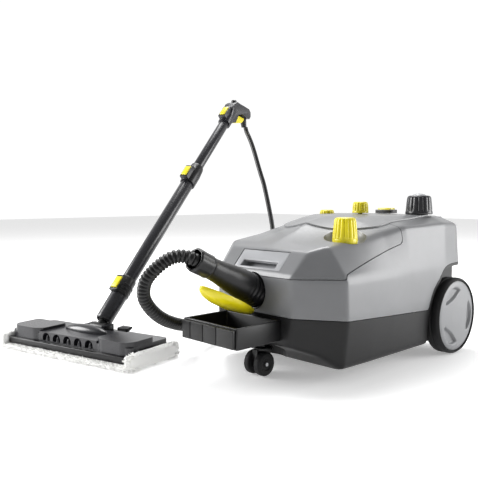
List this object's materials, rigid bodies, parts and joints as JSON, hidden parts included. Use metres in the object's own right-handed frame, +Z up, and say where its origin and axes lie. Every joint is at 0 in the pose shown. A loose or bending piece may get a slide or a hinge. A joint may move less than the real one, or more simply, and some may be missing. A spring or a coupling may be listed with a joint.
{
  "type": "canister steam cleaner",
  "caption": "Wheeled canister steam cleaner with a corrugated hose plugged into its front, and a steam wand standing on a cloth-covered floor nozzle.",
  "frame": {"origin": "on the floor, below the middle of the machine, wand and nozzle together, the hose left out", "axes": "+Z up; the machine's front, with the hose plug and the tray, faces -Y; +X is the machine's right-hand side seen from behind it"},
  "size_m": [0.6529, 0.832, 0.5296],
  "materials": {
    "grey_plastic": "satin moulded plastic",
    "light_grey_plastic": "satin moulded plastic",
    "black_plastic": "fine-grained moulded plastic",
    "dark_grey_plastic": "semi-gloss moulded plastic",
    "yellow_plastic": "semi-gloss moulded plastic",
    "black_rubber": "matt rubber",
    "steel": "drawn stainless steel",
    "brass_metal": "turned brass",
    "tank_plastic": "translucent moulded plastic",
    "board": "circuit board laminate",
    "white_cloth": "terry cloth"
  },
  "bodies": {
    "machine": {"lower_tub": "black_plastic", "body_shell": "grey_plastic", "hood": "grey_plastic", "carry_handle": "light_grey_plastic", "top_cover": "light_grey_plastic", "front_tray": "black_plastic", "bumper_pad": "black_rubber", "filler_neck": "black_plastic", "switch_frame": "black_plastic", "steam_socket": "black_plastic", "outlet_pipe": "steel", "boiler": "steel", "heating_element": "steel", "boiler_cradle": "steel", "safety_valve": "brass_metal", "water_tank": "tank_plastic", "feed_pump": "black_plastic", "steam_valve": "brass_metal", "control_board": "board", "rear_axle": "steel", "cord_gland": "black_rubber", "hose_collar": "black_plastic", "hose_sleeve": "black_rubber", "steam_hose": "black_rubber"},
    "wheel_left": {"tyre_left": "black_rubber", "hub_left": "light_grey_plastic"},
    "wheel_right": {"tyre_right": "black_rubber", "hub_right": "light_grey_plastic"},
    "caster": {"caster_fork": "black_plastic", "caster_axle": "steel"},
    "caster_wheel_left": {"caster_wheel_left": "black_rubber"},
    "caster_wheel_right": {"caster_wheel_right": "black_rubber"},
    "knob_right": {"knob_right": "yellow_plastic"},
    "knob_left": {"knob_left": "yellow_plastic"},
    "knob_middle": {"knob_middle": "yellow_plastic"},
    "rocker": {"power_rocker": "yellow_plastic"},
    "cap_stem": {"cap_stem": "black_rubber"},
    "cap": {"cap_grip": "black_plastic", "cap_dome": "light_grey_plastic"},
    "plug": {"plug_shell": "black_plastic", "plug_spigot": "steel"},
    "flap": {"release_flap": "yellow_plastic"},
    "wand": {"handle_shell": "black_plastic", "hose_bush": "black_rubber", "upper_tube": "dark_grey_plastic", "lower_tube": "dark_grey_plastic", "lower_coupling": "black_plastic", "middle_coupling": "black_plastic", "nozzle_neck": "dark_grey_plastic"},
    "trigger": {"trigger": "yellow_plastic"},
    "lock_button": {"lock_button": "black_plastic"},
    "latch_lower": {"latch_lower": "yellow_plastic"},
    "latch_middle": {"latch_middle": "yellow_plastic"},
    "latch_upper": {"latch_upper": "yellow_plastic"},
    "swivel": {"swivel_knuckle": "black_plastic"},
    "nozzle": {"nozzle_base": "black_plastic", "nozzle_housing": "dark_grey_plastic", "pivot_cover": "dark_grey_plastic", "cleaning_cloth": "white_cloth"},
    "clip": {"cloth_clip": "black_plastic"}
  },
  "joints": [
    {"name": "left_wheel_spin", "type": "hinge", "parent": "machine", "child": "wheel_left", "pos_m": [0.0285, 0.2614, 0.07], "axis": [1, 0, 0], "continuous": true},
    {"name": "right_wheel_spin", "type": "hinge", "parent": "machine", "child": "wheel_right", "pos_m": [0.3105, 0.2614, 0.07], "axis": [1, 0, 0], "continuous": true},
    {"name": "caster_swivel", "type": "hinge", "parent": "machine", "child": "caster", "pos_m": [0.1695, -0.0906, 0.045], "axis": [0, 0, 1], "continuous": true},
    {"name": "caster_left_spin", "type": "hinge", "parent": "caster", "child": "caster_wheel_left", "pos_m": [0.1575, -0.0996, 0.0195], "axis": [1, 0, 0], "continuous": true},
    {"name": "caster_right_spin", "type": "hinge", "parent": "caster", "child": "caster_wheel_right", "pos_m": [0.1815, -0.0996, 0.0195], "axis": [1, 0, 0], "continuous": true},
    {"name": "right_knob_turn", "type": "hinge", "parent": "machine", "child": "knob_right", "pos_m": [0.2595, 0.0064, 0.2128], "axis": [0, 0, 1], "range_deg": [-270, 0]},
    {"name": "left_knob_turn", "type": "hinge", "parent": "machine", "child": "knob_left", "pos_m": [0.0995, 0.1614, 0.2408], "axis": [0, 0, 1], "range_deg": [-270, 0]},
    {"name": "middle_knob_turn", "type": "hinge", "parent": "machine", "child": "knob_middle", "pos_m": [0.1815, 0.1574, 0.2585], "axis": [0, 0, 1], "range_deg": [-270, 0]},
    {"name": "rocker_tilt", "type": "hinge", "parent": "machine", "child": "rocker", "pos_m": [0.1895, 0.2314, 0.2633], "axis": [1, 0, 0], "range_deg": [-7, 7]},
    {"name": "cap_lift", "type": "slide", "parent": "machine", "child": "cap_stem", "axis": [0, 0, 1], "range_m": [0, 0.04]},
    {"name": "cap_turn", "type": "hinge", "parent": "cap_stem", "child": "cap", "pos_m": [0.2545, 0.2414, 0.256], "axis": [0, 0, 1], "range_deg": [0, 90]},
    {"name": "plug_pull", "type": "slide", "parent": "machine", "child": "plug", "axis": [0, -0.9026, 0.4305], "range_m": [0, 0.06], "deforming": ["hose_sleeve"]},
    {"name": "flap_press", "type": "hinge", "parent": "plug", "child": "flap", "pos_m": [0.1695, -0.12684, 0.11373], "axis": [-1, 0, 0], "range_deg": [0, 6], "stiffness_Nm_per_rad": 0.3},
    {"name": "wand_lift", "type": "slide", "parent": "machine", "child": "wand", "axis": [0, 0, 1], "range_m": [0, 0.25], "deforming": ["steam_hose"]},
    {"name": "trigger_pull", "type": "hinge", "parent": "wand", "child": "trigger", "pos_m": [-0.27284, 0.25587, 0.49019], "axis": [0.9705, 0.2411, 0], "range_deg": [0, 8], "stiffness_Nm_per_rad": 0.3},
    {"name": "lock_press", "type": "slide", "parent": "wand", "child": "lock_button", "axis": [0, 0, -1], "range_m": [0, 0.002], "stiffness_N_per_m": 300},
    {"name": "lower_latch_press", "type": "slide", "parent": "wand", "child": "latch_lower", "axis": [-0.1705, 0.6863, -0.7071], "range_m": [0, 0.0018], "stiffness_N_per_m": 300},
    {"name": "middle_latch_press", "type": "slide", "parent": "wand", "child": "latch_middle", "axis": [-0.1705, 0.6863, -0.7071], "range_m": [0, 0.0018], "stiffness_N_per_m": 300},
    {"name": "upper_latch_press", "type": "slide", "parent": "wand", "child": "latch_upper", "axis": [-0.1705, 0.6863, -0.7071], "range_m": [0, 0.0018], "stiffness_N_per_m": 300},
    {"name": "neck_swivel", "type": "hinge", "parent": "wand", "child": "swivel", "pos_m": [-0.15997, -0.19851, 0.04], "axis": [-0.1705, 0.6863, 0.7071], "range_deg": [-45, 45]},
    {"name": "nozzle_tilt", "type": "hinge", "parent": "swivel", "child": "nozzle", "pos_m": [-0.15997, -0.19851, 0.04], "axis": [0.9705, 0.2411, 0], "range_deg": [-43, 40]},
    {"name": "clip_open", "type": "hinge", "parent": "nozzle", "child": "clip", "pos_m": [-0.11168, -0.17724, 0.0405], "axis": [0.9705, 0.2411, 0], "range_deg": [0, 60]}
  ]
}
